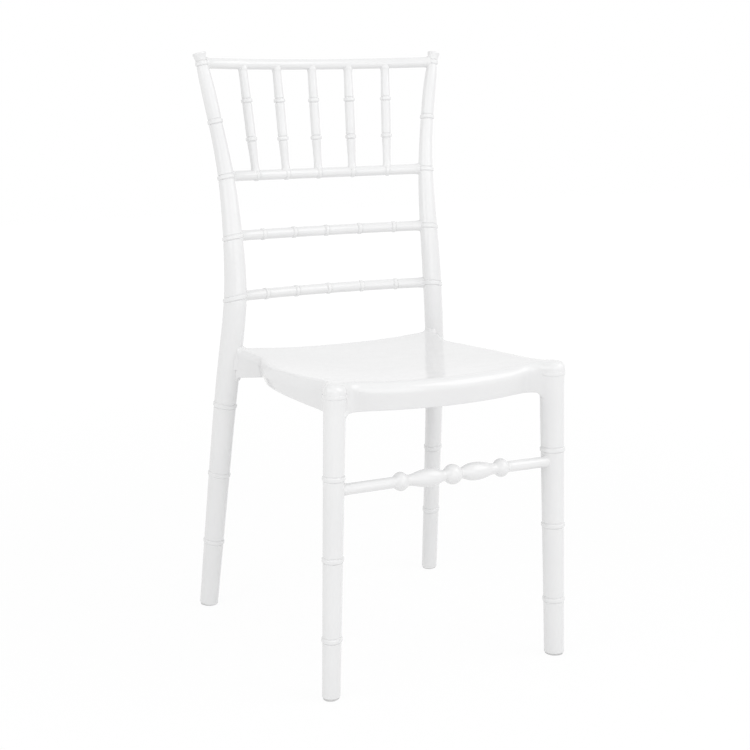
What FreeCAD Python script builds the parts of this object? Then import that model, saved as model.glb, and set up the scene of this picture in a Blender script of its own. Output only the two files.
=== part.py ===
import FreeCAD, Part
import math
import os

Vector = FreeCAD.Vector
os.makedirs("parts", exist_ok=True)

# A moulded plastic chair in the bamboo-jointed banqueting style, in millimetres.
# The origin is on the floor under the middle of the chair. X runs towards the sitter's left,
# Y runs from the front of the seat to the back and Z runs up. The chair faces -Y.

# Heights above the floor
finial_height = 917.0
crest_height = 900.0
upper_ring_height = 810.0
spindle_rail_height = 724.0
middle_rail_height = 630.0
lower_rail_height = 534.0
seat_back_height = 446.0
seat_front_height = 461.0
leg_head_height = 461.0
apron_bottom_height = 417.5
calf_height = 230.0
stretcher_height = 310.0
glide_height = 3.0

# Rear leg and back post: half spread sideways and place from front to back at each height
rear_foot_x = 213.0
rear_foot_y = 217.0
rear_calf_x = 201.5
rear_calf_y = 186.0
rear_seat_x = 188.5
rear_seat_y = 160.0
rear_lower_x = 179.5
rear_lower_y = 153.0
rear_middle_x = 177.5
rear_middle_y = 164.0
rear_spindle_x = 180.5
rear_spindle_y = 181.0
rear_upper_x = 191.0
rear_upper_y = 196.5
rear_crest_x = 207.0
rear_crest_y = 208.5
rear_finial_x = 210.5
rear_finial_y = 210.5

# Rear leg section, long axis on the outward diagonal, short axis across it
rear_foot_long = 31.0
rear_foot_short = 26.5
rear_calf_long = 35.5
rear_calf_short = 28.0
rear_seat_long = 38.0
rear_seat_short = 30.5
rear_lower_long = 37.5
rear_lower_short = 30.5
rear_middle_long = 32.0
rear_middle_short = 29.0
rear_spindle_long = 26.0
rear_spindle_short = 24.0
rear_upper_long = 22.5
rear_upper_short = 21.0
rear_crest_long = 19.5
rear_crest_short = 17.5
finial_long = 23.5
finial_short = 22.0
finial_neck = 9.0
finial_round = 3.0

# Front leg: straight, from the foot to the head at the seat corner
front_foot_x = 191.7
front_foot_y = -230.0
front_head_x = 179.7
front_head_y = -222.0
front_foot_long = 31.0
front_foot_short = 26.5
front_head_long = 37.5
front_head_short = 31.8
front_shoulder_height = 399.0
head_margin = 0.8

# Raised bamboo rings
ring_height = 7.0
ring_raise = 1.2
front_head_ring_height = 447.0
rear_shin_ring_height = 355.0
leg_ring_pitch = 119.5
leg_ring_count = 3

# Back rails, curved backwards between the posts and leaning with them
crest_thickness = 17.5
rail_thickness = 16.5
crest_bow = 39.0
spindle_rail_bow = 41.0
middle_rail_bow = 30.0
lower_rail_bow = 34.0
rail_lean = 0.09
rail_ring_pitch = 60.0
rail_ring_height = 7.5
rail_tenon_diameter = 9.0
rail_tenon_root = 24.0

# Spindles between the crest rail and the spindle rail
spindle_count = 5
spindle_crest_pitch = 65.0
spindle_rail_pitch = 60.5
spindle_foot_diameter = 13.5
spindle_top_diameter = 14.5
spindle_middle_diameter = 15.5
spindle_ring_diameter = 18.8
spindle_ring_height = 7.0
spindle_tenon_diameter = 7.0
spindle_tenon_length = 5.0
spindle_low_ring_share = 0.30
spindle_high_ring_share = 0.70
spindle_overlap = 6.0

# Front stretcher, turned and bowed forwards
stretcher_bow = 16.5
stretcher_rise = 6.0
stretcher_neck_diameter = 16.5
stretcher_ball_diameter = 30.0
stretcher_bulge_diameter = 27.0
stretcher_bulge_start = 16.0
stretcher_bulge_crown = 38.0
stretcher_bulge_end = 68.0
stretcher_bead_diameter = 28.0
stretcher_bead_offset = 84.0
stretcher_bead_length = 22.0
stretcher_tenon_diameter = 11.0

# Seat: half outline, from the middle of the front round to the middle of the back
seat_front_y = -240.0
seat_quarter_x = 85.0
seat_quarter_y = -231.0
seat_shoulder_x = 150.0
seat_shoulder_y = -212.0
seat_corner_x = 184.0
seat_corner_y = -208.0
seat_corner_round = 9.0
seat_flank_x = 194.0
seat_flank_y = -70.0
seat_waist_x = 168.5
seat_waist_y = 76.0
seat_waist_round = 25.0
seat_arm_x = 188.0
seat_arm_y = 160.0
seat_inner_x = 172.0
seat_inner_y = 161.0
seat_back_y = 147.0
seat_wall = 4.0
seat_edge_round = 10.0
dish_depth = 7.0
dish_radius = 168.0
dish_middle_y = -45.0
rib_thickness = 3.0
rib_depth = 10.0
rib_pitch = 85.0
rib_side_count = 1
web_radius = 12.0

# Arm tenons, bolts and inserts at the rear legs
arm_tenon_width = 14.0
arm_tenon_height = 22.0
arm_tenon_reach = 1.0
arm_tenon_round = 3.0
arm_root_length = 48.0
arm_joint_height = 431.0
top_fillet_radius = 7.0
bolt_diameter = 6.0
bolt_length = 30.0
bolt_head_diameter = 12.0
bolt_head_height = 3.3
bolt_socket_width = 4.0
bolt_head_place = 15.0
bolt_run_out = 4.0
insert_diameter = 9.0
insert_length = 13.0

# Front leg tenons and their screws
leg_tenon_inset = 7.0
leg_tenon_length = 32.0
screw_diameter = 5.0
screw_length = 24.0
screw_head_diameter = 10.0
screw_head_height = 3.0
screw_height = 423.0
screw_seat_distance = 15.5

# Glides under the feet
glide_inset = 1.5
glide_stem_diameter = 12.0
glide_stem_length = 16.0

# Clearances
saddle_gap = 0.15
tenon_gap = 0.1
tip_gap = 0.3
hole_gap = 0.05

# How finely curved members are divided, how far an oval that stands for a circle is out of round,
# and how far cutting tools reach past the part
leg_sections = 16
fillet_sections = 4
round_margin = 0.01
beyond = 60.0


def smooth_curve(points):
    curve = Part.BSplineCurve()
    curve.interpolate(points)
    return curve


def at_height(curve, height):
    """Parameter at which a rising curve reaches a height."""
    low = curve.FirstParameter
    high = curve.LastParameter
    for _ in range(50):
        middle = (low + high) / 2
        if curve.value(middle).z < height:
            low = middle
        else:
            high = middle
    return (low + high) / 2


def extended(points):
    """Points with one more at each end, so that a member can be cut to length."""
    first = points[0] + (points[0] - points[1]) * (beyond / abs(points[1].z - points[0].z))
    return [first] + points


def front_path():
    foot = Vector(front_foot_x, front_foot_y, 0)
    head = Vector(front_head_x, front_head_y, leg_head_height)
    return smooth_curve(extended([foot, (foot + head) / 2, head]))


def front_widths():
    foot = Vector(front_foot_long, front_foot_short, 0)
    head = Vector(front_head_long, front_head_short, leg_head_height)
    return smooth_curve(extended([foot, (foot + head) / 2, head]))


def rear_path():
    points = [
        Vector(rear_foot_x, rear_foot_y, 0),
        Vector(rear_calf_x, rear_calf_y, calf_height),
        Vector(rear_seat_x, rear_seat_y, arm_joint_height),
        Vector(rear_lower_x, rear_lower_y, lower_rail_height),
        Vector(rear_middle_x, rear_middle_y, middle_rail_height),
        Vector(rear_spindle_x, rear_spindle_y, spindle_rail_height),
        Vector(rear_upper_x, rear_upper_y, upper_ring_height),
        Vector(rear_crest_x, rear_crest_y, crest_height),
        Vector(rear_finial_x, rear_finial_y, finial_height),
    ]
    return smooth_curve(extended(points))


def rear_widths():
    points = [
        Vector(rear_foot_long, rear_foot_short, 0),
        Vector(rear_calf_long, rear_calf_short, calf_height),
        Vector(rear_seat_long, rear_seat_short, arm_joint_height),
        Vector(rear_lower_long, rear_lower_short, lower_rail_height),
        Vector(rear_middle_long, rear_middle_short, middle_rail_height),
        Vector(rear_spindle_long, rear_spindle_short, spindle_rail_height),
        Vector(rear_upper_long, rear_upper_short, upper_ring_height),
        Vector(rear_crest_long, rear_crest_short, crest_height - finial_neck),
        Vector(rear_crest_long, rear_crest_short, crest_height + finial_neck),
        Vector(finial_long, finial_short, finial_height),
    ]
    return smooth_curve(extended(points))


def oval(centre, along, outward, long_width, short_width):
    """Closed oval across a member, its long axis towards outward."""
    long_axis = outward - along * outward.dot(along)
    long_axis.normalize()
    short_axis = along.cross(long_axis)
    long_end = centre + long_axis * (long_width / 2)
    short_end = centre + short_axis * (short_width / 2)
    return Part.Wire(Part.Ellipse(long_end, short_end, centre).toShape())


def leg_frame(path, widths, height):
    """Centre, direction and both widths of a leg at a height."""
    parameter = at_height(path, height)
    along = path.tangent(parameter)[0]
    if along.z < 0:
        along = along * -1
    size = widths.value(at_height(widths, height))
    return path.value(parameter), along, size.x, size.y


def evenly(low, high, count):
    return [low + (high - low) * step / count for step in range(count + 1)]


def leg_body(path, widths, outward, heights, growth):
    """Smooth loft of ovals at the given heights, grown all round by growth."""
    sections = []
    for height in heights:
        centre, along, long_width, short_width = leg_frame(path, widths, height)
        sections.append(oval(centre, along, outward, long_width + 2 * growth, short_width + 2 * growth))
    return Part.makeLoft(sections, True, False)


def band(centre, along, outward, long_width, short_width, height, raise_by):
    """Raised ring round a member: low square ends, sloping shoulders and a flat crown."""
    profile = [(-0.5, 0.25), (-0.36, 0.8), (-0.16, 1.0), (0.16, 1.0), (0.36, 0.8), (0.5, 0.25)]
    sections = []
    for place, share in profile:
        growth = 2 * raise_by * share
        sections.append(oval(centre + along * (place * height), along, outward,
                             long_width + growth, short_width + growth))
    return Part.makeLoft(sections, True, True)


def leg_rings(path, widths, outward, heights, growth):
    rings = []
    for height in heights:
        centre, along, long_width, short_width = leg_frame(path, widths, height)
        rings.append(band(centre, along, outward, long_width, short_width,
                          ring_height + 2 * growth, ring_raise + growth))
    return rings


def rod(start, end, diameter):
    reach = end - start
    return Part.makeCylinder(diameter / 2, reach.Length, start, reach)


def floor_cut(height):
    size = 4 * beyond
    return Part.makeBox(size, size, beyond * 2, Vector(-size / 2, -size / 2, height - beyond * 2))


def cut_at_floor(shape, path):
    foot = path.value(at_height(path, glide_height))
    cutter = floor_cut(glide_height)
    cutter.translate(Vector(foot.x, foot.y, 0))
    return shape.cut(cutter)


def mirrored(shape):
    return shape.mirror(Vector(0, 0, 0), Vector(1, 0, 0))


front_line = front_path()
front_size = front_widths()
rear_line = rear_path()
rear_size = rear_widths()
front_outward = Vector(1, -1, 0)
rear_outward = Vector(1, 1, 0)
front_ring_heights = [front_head_ring_height - leg_ring_pitch * (index + 1)
                      for index in range(leg_ring_count)]
rear_ring_heights = [rear_shin_ring_height - leg_ring_pitch * index for index in range(leg_ring_count)]
rear_ring_heights += [lower_rail_height, middle_rail_height, spindle_rail_height,
                      upper_ring_height, crest_height]


def largest(shape):
    """The main solid of a boolean result."""
    return max(shape.Solids, key=lambda piece: piece.Volume)


def both(shapes):
    return shapes + [mirrored(shape) for shape in shapes]


def seat_plane(y):
    """Height of the rim plane, which rises from the back to the front."""
    share = (seat_back_y - y) / (seat_back_y - seat_front_y)
    return seat_back_height + (seat_front_height - seat_back_height) * share


def prism(wire, low, high):
    base = Part.Face(wire)
    base.translate(Vector(0, 0, low))
    return base.extrude(Vector(0, 0, high - low))


def seat_outline():
    """Outline of the seat on the floor plane, from arcs and lines, alike on both sides."""
    front = Vector(0, seat_front_y, 0)
    quarter = Vector(seat_quarter_x, seat_quarter_y, 0)
    shoulder = Vector(seat_shoulder_x, seat_shoulder_y, 0)
    corner = Vector(seat_corner_x, seat_corner_y, 0)
    flank = Vector(seat_flank_x, seat_flank_y, 0)
    waist = Vector(seat_waist_x, seat_waist_y, 0)
    arm = Vector(seat_arm_x, seat_arm_y, 0)
    inner = Vector(seat_inner_x, seat_inner_y, 0)
    back = Vector(0, seat_back_y, 0)

    def other(point):
        return Vector(-point.x, point.y, 0)

    sharp = Part.Wire([
        Part.Arc(front, quarter, shoulder).toShape(),
        Part.LineSegment(shoulder, corner).toShape(),
        Part.Arc(corner, flank, waist).toShape(),
        Part.LineSegment(waist, arm).toShape(),
        Part.LineSegment(arm, inner).toShape(),
        Part.Arc(inner, back, other(inner)).toShape(),
        Part.LineSegment(other(inner), other(arm)).toShape(),
        Part.LineSegment(other(arm), other(waist)).toShape(),
        Part.Arc(other(waist), other(flank), other(corner)).toShape(),
        Part.LineSegment(other(corner), other(shoulder)).toShape(),
        Part.Arc(other(shoulder), other(quarter), front).toShape(),
    ])
    block = prism(sharp, 0, beyond)
    waists = [edge for edge in block.Edges
              if edge.BoundBox.ZLength > beyond / 2 and abs(edge.BoundBox.Center.y - seat_waist_y) < 1]
    return foot_wire(block.makeFillet(seat_waist_round, waists))


def foot_wire(block):
    floor = [face for face in block.Faces if face.BoundBox.ZMax < 1]
    return floor[0].OuterWire


def corner_column(low, high, margin):
    """Upright oval column at the seat's corner, a margin larger all round than the front leg's head."""
    height = (apron_bottom_height + front_head_ring_height) / 2
    centre, _, long_width, short_width = leg_frame(front_line, front_size, height)
    return prism(oval(Vector(centre.x, centre.y, 0), Vector(0, 0, 1), front_outward,
                      long_width + 2 * margin, short_width + 2 * margin), low, high)


def cornered_outline():
    """Outline of the seat with its two front corner columns, blended into the apron by concave rounds."""
    column = corner_column(0, beyond, head_margin)
    block = prism(seat_outline(), 0, beyond).fuse(both([column]))
    middle = column.BoundBox.Center
    hollows = []
    for edge in block.Edges:
        place = edge.BoundBox.Center
        offset = Vector(abs(place.x) - middle.x, place.y - middle.y, 0)
        inner = offset.Length < front_head_long and offset.dot(front_outward) < 0
        if inner and edge.BoundBox.ZLength > beyond / 2:
            hollows.append(edge)
    return foot_wire(block.removeSplitter().makeFillet(seat_corner_round, hollows))


def over_seat(lowered):
    """The space over the sloping rim plane, and the ball that dishes the pan, lowered by a thickness."""
    size = 4 * seat_flank_x
    slope = math.degrees(math.atan2(seat_front_height - seat_back_height, seat_back_y - seat_front_y))
    slab = Part.makeBox(size, size, 2 * beyond, Vector(-size / 2, -size / 2, 0))
    slab.rotate(Vector(0, 0, 0), Vector(1, 0, 0), -slope)
    slab.translate(Vector(0, 0, seat_plane(0) - lowered))
    ball_radius = (dish_radius ** 2 + dish_depth ** 2) / (2 * dish_depth)
    middle = Vector(0, dish_middle_y, seat_plane(dish_middle_y) - dish_depth)
    ball = Part.makeSphere(ball_radius + lowered, middle + Vector(0, 0, ball_radius))
    reach = Part.makeBox(size, size, 3 * beyond, Vector(-size / 2, -size / 2, seat_plane(0) - beyond))
    return [slab, ball.common(reach)]


def seat_block():
    """Outer form of the seat: upright apron, sloping top, rounded rim and dished pan."""
    block = prism(cornered_outline(), apron_bottom_height - web_radius - 1, seat_front_height + beyond)
    slab, ball = over_seat(0)
    block = block.cut(slab)
    top = [edge for edge in block.Edges if edge.BoundBox.ZMin > seat_back_height - 5]
    block = block.makeFillet(seat_edge_round, top)
    return largest(block.cut(ball))


def rib_grid():
    """Crossing ribs that stiffen the pan, deeper than the hollow they are trimmed to."""
    low = seat_back_height - seat_wall - dish_depth - rib_depth
    reach = 6 * rib_pitch
    ribs = []
    for index in range(-rib_side_count, rib_side_count + 1):
        place = index * rib_pitch
        ribs.append(Part.makeBox(rib_thickness, reach, 2 * beyond,
                                 Vector(place - rib_thickness / 2, dish_middle_y - reach / 2, low)))
        ribs.append(Part.makeBox(reach, rib_thickness, 2 * beyond,
                                 Vector(-reach / 2, dish_middle_y + place - rib_thickness / 2, low)))
    return ribs


def seat_recess():
    """Hollow under the seat, one wall thickness inside the outer form, without its ribs and corners."""
    inside = seat_outline().makeOffset2D(-seat_wall)
    low = apron_bottom_height - web_radius - 2
    high = seat_front_height + beyond
    recess = prism(inside, low, high)
    column = corner_column(low, high, head_margin + 2 * ring_raise)
    return largest(recess.cut(over_seat(seat_wall) + rib_grid() + both([column])))


def flare(path, widths, outward, height, radius, side):
    """Concave fillet round a leg: widest at height and gone one radius below it, or above for side 1."""
    sections = []
    for step in range(fillet_sections + 1):
        angle = math.radians(90 * step / fillet_sections)
        centre, along, long_width, short_width = leg_frame(
            path, widths, height + side * radius * (1 - math.sin(angle)))
        growth = 2 * radius * (1 - math.cos(angle)) + 2 * saddle_gap
        sections.append(oval(centre, along, outward, long_width + growth, short_width + growth))
    return Part.makeLoft(sections, True, False)


def under_apron():
    """Slab to trim off below the apron, but for the fillets that it keeps round the legs."""
    size = 4 * seat_flank_x
    slab = Part.makeBox(size, size, 2 * web_radius,
                        Vector(-size / 2, -size / 2, apron_bottom_height - 2 * web_radius))
    front = flare(front_line, front_size, front_outward, apron_bottom_height + 1, web_radius, -1)
    rear = flare(rear_line, rear_size, rear_outward, apron_bottom_height + 1, web_radius, -1)
    return slab.cut(both([front, rear]))


def leg_head():
    """Lower end of the corner housing, which carries on the front leg's line, and its ring."""
    heights = evenly(front_shoulder_height, front_head_ring_height, fillet_sections)
    head = leg_body(front_line, front_size, front_outward, heights, 0)
    rings = leg_rings(front_line, front_size, front_outward, [front_head_ring_height], head_margin)
    return head.fuse(rings)


def screw_axis():
    """Point on the front leg's axis at the screw, and the direction out through the corner."""
    centre = front_line.value(at_height(front_line, screw_height))
    outwards = Vector(1, -1, 0)
    outwards.normalize()
    return centre, outwards


def leg_socket():
    """Blind socket for the front leg's tenon, with the screw hole that crosses it."""
    top = front_shoulder_height + leg_tenon_length + tip_gap
    heights = evenly(front_shoulder_height - 1, top, fillet_sections)
    socket = leg_body(front_line, front_size, front_outward, heights, tenon_gap - leg_tenon_inset)
    centre, outwards = screw_axis()
    seat_point = centre - outwards * screw_seat_distance
    shank = rod(seat_point, centre, screw_diameter + 2 * hole_gap)
    access = rod(seat_point, seat_point - outwards * beyond / 2, screw_head_diameter + 2)
    return [socket, shank, access]


def arm_axis():
    """Middle of the rear leg at the arm joint, and the direction out of the arm through the leg."""
    return rear_line.value(at_height(rear_line, arm_joint_height)), rear_outward.normalize()


def on_arm_axis(place):
    """Point on the arm's axis, at a distance past the middle of the rear leg."""
    centre, outwards = arm_axis()
    return centre + outwards * place


def arm_block(width, height, start, end):
    """Upright block on the arm's axis between two places along it."""
    centre, outwards = arm_axis()
    block = Part.makeBox(end - start, width, height, Vector(start, -width / 2, -height / 2))
    along = [edge for edge in block.Edges if abs(edge.Length - (end - start)) < 1e-6]
    block = block.makeFillet(arm_tenon_round, along)
    block.rotate(Vector(0, 0, 0), Vector(0, 0, 1), math.degrees(math.atan2(outwards.y, outwards.x)))
    block.translate(centre)
    return block


def rounded_end(path, widths, outward, height, radius, growth):
    """Rounded upper end of a member: ovals that shrink along a quarter circle."""
    sections = []
    for step in range(fillet_sections + 1):
        angle = math.radians(90 * step / fillet_sections)
        centre, along, long_width, short_width = leg_frame(
            path, widths, height - radius * (1 - math.sin(angle)))
        change = 2 * growth - 2 * radius * (1 - math.cos(angle))
        sections.append(oval(centre, along, outward, long_width + change, short_width + change))
    return Part.makeLoft(sections, True, True)


def rear_post(growth):
    """Rear leg and back post in one line, grown all round by growth."""
    heights = evenly(-beyond / 2, crest_height - 3 * finial_neck, leg_sections)
    heights += evenly(crest_height - 2 * finial_neck, finial_height - finial_round, fillet_sections)
    post = leg_body(rear_line, rear_size, rear_outward, heights, growth)
    post = post.fuse(rounded_end(rear_line, rear_size, rear_outward, finial_height, finial_round, growth))
    for ring in leg_rings(rear_line, rear_size, rear_outward, rear_ring_heights, growth):
        post = post.fuse(ring)
    return post


def make_seat(grown_post):
    """Seat pan with apron, corner housings for the front legs and tenoned arms for the rear legs."""
    shell = seat_block().cut([seat_recess(), under_apron()])
    root = arm_block(arm_tenon_width + 2 * seat_wall, arm_tenon_height + 1.5 * seat_wall, -arm_root_length, 0)
    fillet = flare(rear_line, rear_size, rear_outward, seat_back_height - 1, top_fillet_radius, 1)
    plate = prism(seat_outline().makeOffset2D(-seat_edge_round / 2), seat_back_height - 2 * seat_wall,
                  seat_back_height + top_fillet_radius)
    seat = shell.fuse(both([leg_head(), root, plate.common(fillet)]))
    seat = seat.cut(both([grown_post] + leg_socket()))
    tenon = arm_block(arm_tenon_width, arm_tenon_height, -arm_root_length / 2, arm_tenon_reach)
    bore = rod(on_arm_axis(arm_tenon_reach + 1), on_arm_axis(arm_tenon_reach - insert_length - tip_gap),
               insert_diameter + 2 * hole_gap)
    run_out = rod(on_arm_axis(arm_tenon_reach), on_arm_axis(bolt_head_place - bolt_length - bolt_run_out),
                  bolt_diameter + 1)
    return largest(seat.fuse(both([tenon])).cut(both([bore, run_out])))


def countersunk(head_point, along, shank, head, head_height, length):
    """Flat-headed fastener from the outer face of its head along its shank."""
    tip = head_point + along * length
    cone = Part.makeCone(head / 2, shank / 2, head_height, head_point, along)
    return rod(head_point, tip, shank).fuse(cone)


def make_bolt():
    """Countersunk bolt with a hexagon socket, from the outer side of the rear leg into the arm."""
    _, outwards = arm_axis()
    head = on_arm_axis(bolt_head_place)
    bolt = countersunk(head, outwards * -1, bolt_diameter, bolt_head_diameter, bolt_head_height, bolt_length)
    sideways = Vector(-outwards.y, outwards.x, 0)
    corners = []
    for corner in range(7):
        angle = math.radians(60 * corner)
        reach = bolt_socket_width / math.sqrt(3)
        corners.append(head + sideways * (reach * math.cos(angle)) + Vector(0, 0, reach * math.sin(angle)))
    socket = Part.Face(Part.makePolygon(corners)).extrude(outwards * (-0.8 * bolt_head_height))
    return bolt.cut(socket)


def make_insert():
    """Threaded sleeve in the end of the arm's tenon."""
    mouth = on_arm_axis(arm_tenon_reach)
    bottom = on_arm_axis(arm_tenon_reach - insert_length)
    sleeve = rod(mouth, bottom, insert_diameter)
    return sleeve.cut(rod(mouth, bottom, bolt_diameter + 2 * hole_gap))


def tenon_bore(rail, outer):
    """Blind bore for a rail's tenon, from outside the post to just past its middle."""
    end, inwards = rail_end(rail)
    return rod(end - inwards * tip_gap, end + inwards * outer, rail_tenon_diameter + 2 * tenon_gap)


def make_rear_leg():
    """Rear leg and back post in one piece, with its rings, bores and mortise."""
    leg = largest(cut_at_floor(rear_post(0), rear_line))
    _, outwards = arm_axis()
    mortise = arm_block(arm_tenon_width + 2 * tenon_gap, arm_tenon_height + 2 * tenon_gap,
                        -beyond, arm_tenon_reach + tip_gap)
    head = on_arm_axis(bolt_head_place)
    shank = rod(head, on_arm_axis(0), bolt_diameter + 1)
    sink = Part.makeCone(bolt_head_diameter / 2 + hole_gap, bolt_diameter / 2, bolt_head_height + hole_gap,
                         head, outwards * -1)
    opening = rod(head, on_arm_axis(beyond), bolt_head_diameter + 2 * hole_gap)
    bores = [tenon_bore(rail, beyond / 2) for rail in rails]
    bores.append(glide_bore(rear_line))
    return largest(leg.cut([mortise, shank, sink, opening] + bores))


def make_front_leg():
    """Front leg below the seat, with the tenon that enters the corner housing."""
    leg = leg_body(front_line, front_size, front_outward, front_leg_heights, 0)
    rings = leg_rings(front_line, front_size, front_outward, front_ring_heights, 0)
    heights = evenly(front_shoulder_height - web_radius, front_shoulder_height + leg_tenon_length,
                     fillet_sections)
    tenon = leg_body(front_line, front_size, front_outward, heights, -leg_tenon_inset)
    leg = cut_at_floor(leg.fuse(rings + [tenon]), front_line)
    centre, outwards = screw_axis()
    head = centre - outwards * screw_seat_distance
    pilot = rod(head, head + outwards * (screw_length + tip_gap), screw_diameter + 2 * hole_gap)
    end, along = stretcher_end()
    socket = rod(end + along * tip_gap, end - along * beyond / 2, stretcher_tenon_diameter + 2 * tenon_gap)
    return largest(leg.cut([pilot, socket, glide_bore(front_line)]))


def make_screw():
    """Pan-headed screw through the corner housing into the front leg's tenon."""
    centre, outwards = screw_axis()
    seat_point = centre - outwards * screw_seat_distance
    shank = rod(seat_point, seat_point + outwards * screw_length, screw_diameter)
    head = rod(seat_point, seat_point - outwards * screw_head_height, screw_head_diameter)
    slot = rod(seat_point - outwards * screw_head_height, seat_point - outwards * screw_head_height * 0.4,
               screw_head_diameter * 0.35)
    return head.fuse(shank).cut(slot)


def glide_bore(path):
    foot = path.value(at_height(path, glide_height))
    top = Vector(foot.x, foot.y, glide_height + glide_stem_length + tip_gap)
    return rod(Vector(foot.x, foot.y, -beyond), top, glide_stem_diameter + 2 * tenon_gap)


def make_glide(path, widths, outward):
    """Glide under a foot: an oval pad with a rounded lower edge and a stem pressed into the leg."""
    _, _, long_width, short_width = leg_frame(path, widths, glide_height)
    foot = path.value(at_height(path, glide_height))
    base = Vector(foot.x, foot.y, 0)
    up = Vector(0, 0, 1)
    pad = Part.Face(oval(base, up, outward, long_width - 2 * glide_inset, short_width - 2 * glide_inset))
    pad = pad.extrude(up * glide_height)
    lower = [edge for edge in pad.Edges if edge.BoundBox.ZMax < glide_height / 2]
    pad = pad.makeFillet(glide_height / 3, lower)
    stem = rod(base, base + up * (glide_height + glide_stem_length), glide_stem_diameter)
    stem = stem.makeChamfer(1, [edge for edge in stem.Edges if edge.BoundBox.ZMin > glide_height])
    return pad.fuse(rod(base + up, base + up * 2, glide_stem_diameter)).fuse(
        stem.common(Part.makeBox(2 * beyond, 2 * beyond, beyond,
                                 base + Vector(-beyond, -beyond, glide_height / 2))))


def rail_arc(height, bow):
    """Centre line of a rail, an arc from post to post that bows to the back and dips as the back leans."""
    end = rear_line.value(at_height(rear_line, height))
    middle = Vector(0, end.y + bow, end.z - bow * rail_lean)
    return Part.Arc(end, middle, Vector(-end.x, end.y, end.z))


def rail_end(rail):
    """End of a rail's centre line on the +X side, and the direction into the rail."""
    arc = rail_arc(rail["height"], rail["bow"])
    along = arc.tangent(arc.FirstParameter)[0]
    if along.x > 0:
        along = along * -1
    return arc.value(arc.FirstParameter), along


def sweep(path, diameter):
    start = path.value(path.FirstParameter)
    along = path.tangent(path.FirstParameter)[0]
    profile = Part.Wire(Part.Circle(start, along, diameter / 2).toShape())
    return Part.Wire(path.toShape()).makePipeShell([profile], True, False)


def rail_rings(rail, growth):
    """Raised nodes along a rail, evenly spaced from its middle, grown all round by growth."""
    arc = rail_arc(rail["height"], rail["bow"])
    half = arc.length() / 2
    rings = []
    for index in range(-(rail["rings"] // 2), rail["rings"] // 2 + 1):
        parameter = arc.parameterAtDistance(half + index * rail["pitch"], arc.FirstParameter)
        rings.append(band(arc.value(parameter), arc.tangent(parameter)[0], Vector(0, 0, 1),
                          rail["thickness"] + round_margin, rail["thickness"],
                          rail_ring_height + 2 * growth, ring_raise + growth))
    return rings


def rail_tenon(rail):
    end, inwards = rail_end(rail)
    return rod(end, end + inwards * rail_tenon_root, rail_tenon_diameter)


def make_rail(rail, grown_post):
    """Back rail coped to the posts, with its nodes, end tenons and any spindle sockets."""
    body = sweep(rail_arc(rail["height"], rail["bow"]), rail["thickness"])
    if rail["rings"]:
        body = body.fuse(rail_rings(rail, 0))
    body = largest(body.cut(both([grown_post])))
    body = body.fuse(both([rail_tenon(rail)]))
    if rail["spindles"]:
        body = body.cut([spindle_bore(index) for index in spindle_indices])
    return largest(body)


def spindle_axis(index):
    """Points on the spindle rail's and the crest rail's centre lines that a spindle joins."""
    ends = []
    for rail, pitch in ((rails[1], spindle_rail_pitch), (rails[0], spindle_crest_pitch)):
        arc = rail_arc(rail["height"], rail["bow"])
        half = arc.length() / 2
        ends.append(arc.value(arc.parameterAtDistance(half + index * pitch, arc.FirstParameter)))
    return ends


def spindle_span(index):
    """Where a spindle leaves the spindle rail and enters the crest rail, with its direction."""
    low, high = spindle_axis(index)
    along = high - low
    along.normalize()
    start = low + along * (rail_thickness / 2)
    end = high - along * (crest_thickness / 2)
    return start, end, along


def spindle_bore(index):
    start, end, along = spindle_span(index)
    reach = spindle_tenon_length + tip_gap
    return rod(start - along * reach, end + along * reach, spindle_tenon_diameter + 2 * tenon_gap)


def spindle_ring_profile(place):
    """Outline of one ring on a spindle, as distance and radius."""
    half = spindle_ring_height / 2
    crown = spindle_ring_diameter / 2
    return [(place - half, crown - 2 * ring_raise), (place - half * 0.8, crown - ring_raise * 0.4),
            (place - half * 0.4, crown), (place + half * 0.4, crown),
            (place + half * 0.8, crown - ring_raise * 0.4), (place + half, crown - 2 * ring_raise)]


def make_spindle(index, coping):
    """Turned spindle: thin ends, a swollen middle between two rings, and a tenon at each end."""
    start, end, along = spindle_span(index)
    length = (end - start).Length
    low_ring = length * spindle_low_ring_share
    high_ring = length * spindle_high_ring_share
    foot = spindle_foot_diameter / 2
    swollen = spindle_middle_diameter / 2
    top = spindle_top_diameter / 2
    sections = [(-spindle_overlap, foot), (low_ring * 0.5, foot), (low_ring, swollen),
                ((low_ring + high_ring) / 2, swollen), (high_ring, swollen),
                ((high_ring + length) / 2, top), (length + spindle_overlap, top)]
    points = [start + along * place + across(along) * radius for place, radius in sections]
    profile = smooth_curve(points)
    sides = [profile.toShape(), Part.makeLine(points[-1], end + along * spindle_overlap),
             Part.makeLine(end + along * spindle_overlap, start - along * spindle_overlap),
             Part.makeLine(start - along * spindle_overlap, points[0])]
    body = Part.Face(Part.Wire(sides)).revolve(start, along, 360)
    rings = []
    for place in (low_ring, high_ring):
        outline = spindle_ring_profile(place)
        corners = [start + along * distance + across(along) * radius for distance, radius in outline]
        corners = [start + along * outline[0][0]] + corners + [start + along * outline[-1][0]]
        corners.append(corners[0])
        rings.append(Part.Face(Part.makePolygon(corners)).revolve(start, along, 360))
    body = largest(body.fuse(rings).cut(coping))
    reach = spindle_tenon_length
    return body.fuse(rod(start - along * reach, end + along * reach, spindle_tenon_diameter))


def across(along):
    """A unit direction square to a near-upright member."""
    side = along.cross(Vector(1, 0, 0))
    side.normalize()
    return side


def stretcher_arc():
    end = front_line.value(at_height(front_line, stretcher_height))
    middle = Vector(0, end.y - stretcher_bow, end.z + stretcher_rise)
    return Part.Arc(end, middle, Vector(-end.x, end.y, end.z))


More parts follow.
